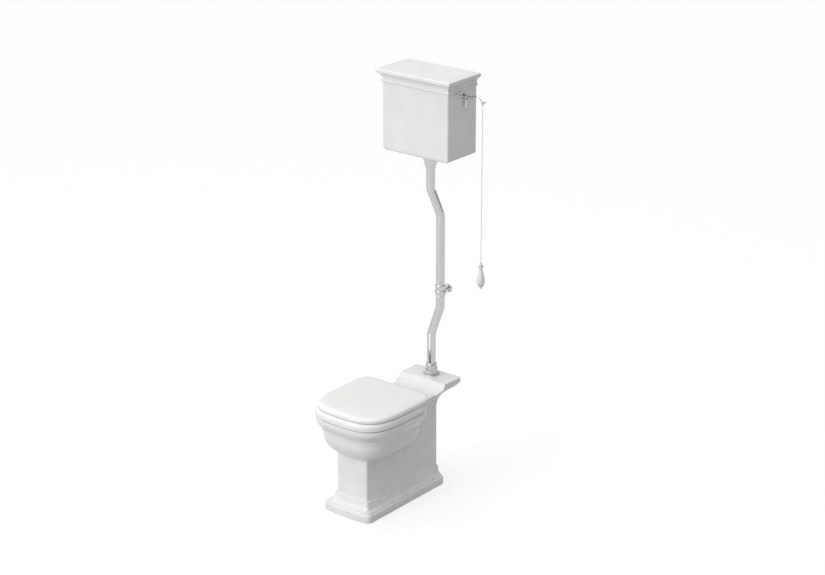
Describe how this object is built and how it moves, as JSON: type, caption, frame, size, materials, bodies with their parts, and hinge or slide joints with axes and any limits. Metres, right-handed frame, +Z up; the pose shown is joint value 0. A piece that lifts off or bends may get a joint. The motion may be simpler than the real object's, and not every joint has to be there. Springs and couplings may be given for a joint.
{
  "type": "high level toilet",
  "caption": "High level toilet: china pan with seat and cover, chromed flush pipe up to a wall cistern, and a lever with a chain and a china handle.",
  "frame": {"origin": "on the floor, in the pan's middle plane, under the middle of the heel of its foot", "axes": "+Z up, +Y towards the wall behind the pan, +X towards the lever's side"},
  "size_m": [0.4818, 0.7032, 1.813],
  "materials": {
    "white_china": "white vitreous china under a clear gloss glaze",
    "seat_resin": "white moulded thermoset resin, polished",
    "chrome": "polished chromium plate on brass",
    "brass": "turned and cast, unplated",
    "black_rubber": "moulded, matt",
    "buffer_rubber": "moulded, off white",
    "white_plastic": "injection moulded, semi matt"
  },
  "bodies": {
    "fixed": {"pan": "white_china", "floor_screw_left": "brass", "floor_screw_right": "brass", "floor_screw_cap_left": "white_plastic", "floor_screw_cap_right": "white_plastic", "hinge_rod": "chrome", "hinge_post_left": "chrome", "hinge_post_right": "chrome", "hinge_bolt_left": "chrome", "hinge_bolt_right": "chrome", "hinge_bush_left": "black_rubber", "hinge_bush_right": "black_rubber", "flush_pipe_lower": "chrome", "flush_pipe_upper": "chrome", "slip_collar": "chrome", "inlet_seal": "black_rubber", "inlet_flange": "chrome", "inlet_nut": "chrome", "pipe_clip": "chrome", "clip_screw": "chrome", "clip_stem": "chrome", "wall_rosette": "chrome", "cistern_body": "white_china", "wall_screw_left": "chrome", "wall_screw_right": "chrome", "wall_screw_washer_left": "black_rubber", "wall_screw_washer_right": "black_rubber", "siphon_back_nut": "white_plastic", "union_nut": "chrome", "siphon_washer": "black_rubber", "siphon_body": "white_plastic", "lever_bracket": "chrome", "fulcrum_pin": "chrome", "inlet_valve": "brass", "inlet_washer": "black_rubber", "inlet_back_nut": "white_plastic", "float_pin": "brass", "fill_tube": "white_plastic"},
    "seat": {"seat": "seat_resin", "seat_buffer_front_left": "buffer_rubber", "seat_buffer_front_right": "buffer_rubber", "seat_buffer_rear_left": "buffer_rubber", "seat_buffer_rear_right": "buffer_rubber"},
    "cover": {"cover": "seat_resin", "cover_buffer_left": "buffer_rubber", "cover_buffer_right": "buffer_rubber"},
    "lid": {"cistern_lid": "white_china"},
    "lever": {"pull_lever": "chrome"},
    "plunger": {"siphon_plunger": "brass", "lift_link": "brass"},
    "ring": {"chain_ring": "chrome"},
    "shackle": {"chain_shackle": "chrome"},
    "chain": {"pull_chain": "chrome", "handle_ferrule": "chrome", "pull_handle": "white_china", "handle_finial": "chrome"},
    "float": {"float_arm": "brass", "float_ball": "white_plastic"},
    "piston": {"valve_piston": "black_rubber"}
  },
  "joints": [
    {"name": "seat_hinge", "type": "hinge", "parent": "fixed", "child": "seat", "pos_m": [0, -0.152, 0.4465], "axis": [-1, 0, 0], "range_deg": [0, 95]},
    {"name": "cover_hinge", "type": "hinge", "parent": "seat", "child": "cover", "pos_m": [0, -0.152, 0.4465], "axis": [1, 0, 0], "range_deg": [-100, 0]},
    {"name": "lid_lift", "type": "slide", "parent": "fixed", "child": "lid", "axis": [0, 0, 1], "range_m": [0, 0.12]},
    {"name": "lever_pivot", "type": "hinge", "parent": "fixed", "child": "lever", "pos_m": [0.181, 0.068, 1.7285], "axis": [0, 1, 0], "range_deg": [0, 21.7]},
    {"name": "plunger_lift", "type": "slide", "parent": "fixed", "child": "plunger", "axis": [0, 0, 1], "range_m": [0, 0.0472]},
    {"name": "ring_swivel", "type": "hinge", "parent": "lever", "child": "ring", "pos_m": [0.26655, 0.068, 1.7168], "axis": [0, 1, 0], "range_deg": [-22, 0]},
    {"name": "shackle_swing", "type": "hinge", "parent": "ring", "child": "shackle", "pos_m": [0.26655, 0.068, 1.7074], "axis": [0, 1, 0], "range_deg": [-25, 12]},
    {"name": "chain_swing", "type": "hinge", "parent": "shackle", "child": "chain", "pos_m": [0.26655, 0.068, 1.7005], "axis": [1, 0, 0], "range_deg": [-25, 5]},
    {"name": "float_pivot", "type": "hinge", "parent": "fixed", "child": "float", "pos_m": [-0.0914, 0.096, 1.6935], "axis": [-1, 0, 0], "range_deg": [0, 24]},
    {"name": "piston_slide", "type": "slide", "parent": "fixed", "child": "piston", "axis": [0, 1, 0], "range_m": [0, 0.002]}
  ],
  "couplings": [
    {"joint": "plunger_lift", "follows": "lever_pivot", "m_per_rad": 0.1238},
    {"joint": "ring_swivel", "follows": "lever_pivot", "ratio": -1},
    {"joint": "piston_slide", "follows": "float_pivot", "m_per_rad": 0.0041}
  ]
}
